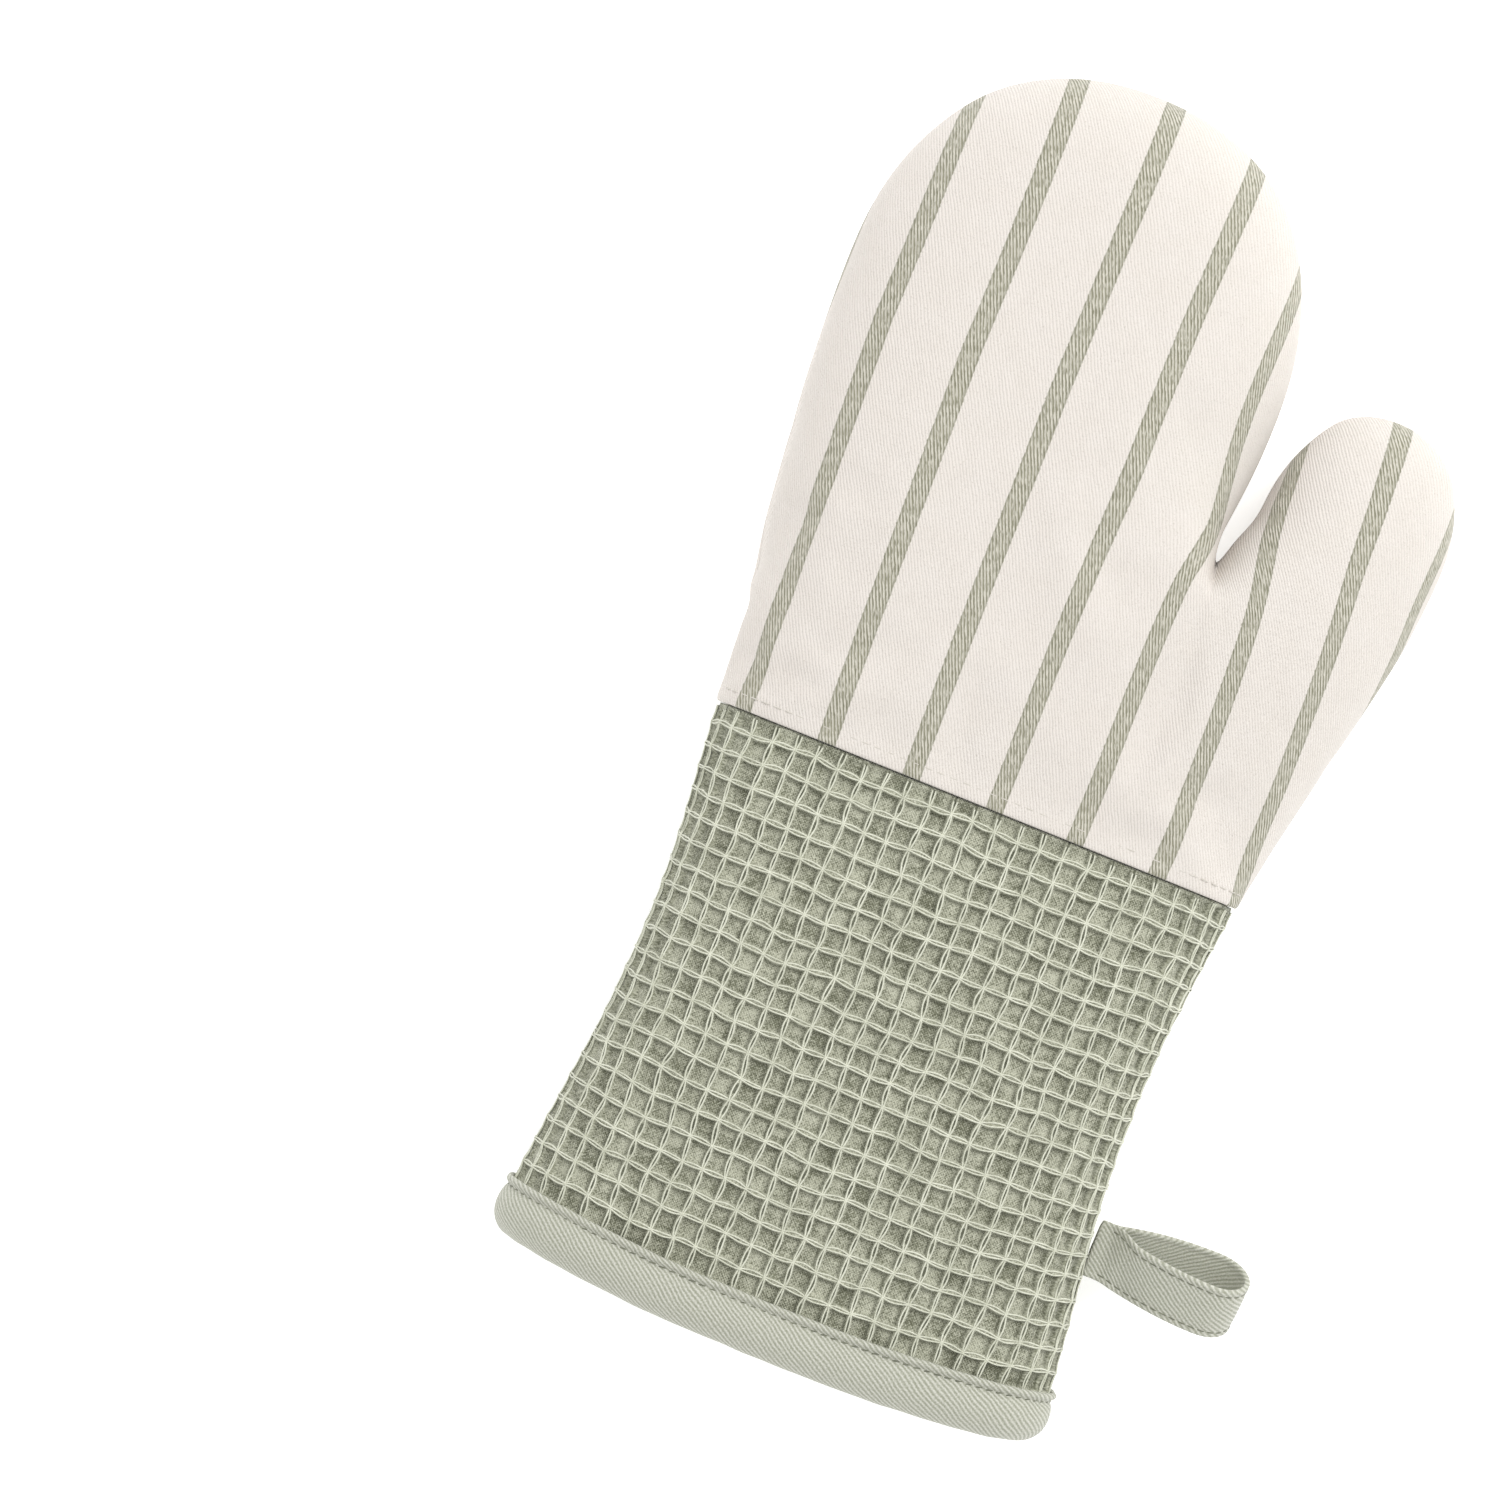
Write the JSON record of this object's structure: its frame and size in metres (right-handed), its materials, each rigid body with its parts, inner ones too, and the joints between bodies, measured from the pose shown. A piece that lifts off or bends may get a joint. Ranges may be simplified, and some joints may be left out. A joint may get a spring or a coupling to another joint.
{
  "type": "oven mitt",
  "caption": "Padded cotton oven mitt: striped twill hand with a thumb, waffle-weave cuff, lined and wadded, bound hem and a tape hanging loop.",
  "frame": {"origin": "on the surface the mitt lies on, under the middle of its overall box (mitt and hanging loop)", "axes": "+Y from the hem to the finger tips, +X towards the thumb and the hanging loop, +Z out of the palm side; the mitt lies on its back"},
  "size_m": [0.1944, 0.336, 0.0409],
  "materials": {
    "striped_twill": "cream cotton twill with woven sage stripes along the mitt",
    "waffle_cotton": "sage honeycomb-weave cotton",
    "wadding": "white polyester needled wadding",
    "lining_cotton": "plain-weave cotton lining",
    "bias_tape": "sage cotton twill tape, folded",
    "cream_thread": "cream sewing thread",
    "sage_thread": "sage sewing thread"
  },
  "bodies": {
    "hand": {"hand_palm_panel": "striped_twill", "cuff_palm_panel": "waffle_cotton", "hand_palm_wadding": "wadding", "hand_palm_lining": "lining_cotton", "hand_back_panel": "striped_twill", "cuff_back_panel": "waffle_cotton", "hand_back_wadding": "wadding", "hand_back_lining": "lining_cotton", "hem_binding": "bias_tape", "binding_stitching": "sage_thread", "cuff_seam_stitching_palm": "cream_thread", "cuff_seam_stitching_back": "cream_thread"},
    "fingers": {"fingers_palm_panel": "striped_twill", "fingers_palm_wadding": "wadding", "fingers_palm_lining": "lining_cotton", "fingers_back_panel": "striped_twill", "fingers_back_wadding": "wadding", "fingers_back_lining": "lining_cotton"},
    "thumb": {"thumb_palm_panel": "striped_twill", "thumb_palm_wadding": "wadding", "thumb_palm_lining": "lining_cotton", "thumb_back_panel": "striped_twill", "thumb_back_wadding": "wadding", "thumb_back_lining": "lining_cotton"},
    "loop": {"hanging_loop": "bias_tape", "loop_stitching_hem_side": "sage_thread", "loop_stitching_finger_side": "sage_thread"}
  },
  "joints": [
    {"name": "fingers_bend", "type": "hinge", "parent": "hand", "child": "fingers", "pos_m": [-0.0392, 0.07, 0.0406], "axis": [1, 0, 0], "range_deg": [0, 60], "stiffness_Nm_per_rad": 0.05},
    {"name": "thumb_bend", "type": "hinge", "parent": "hand", "child": "thumb", "pos_m": [0.0475, 0.07, 0.0379], "axis": [1, 0, 0], "range_deg": [0, 50], "stiffness_Nm_per_rad": 0.03},
    {"name": "loop_swing", "type": "hinge", "parent": "hand", "child": "loop", "pos_m": [0.058, -0.1107, 0.016], "axis": [0, 1, 0], "range_deg": [-75, 75], "stiffness_Nm_per_rad": 0.004}
  ]
}
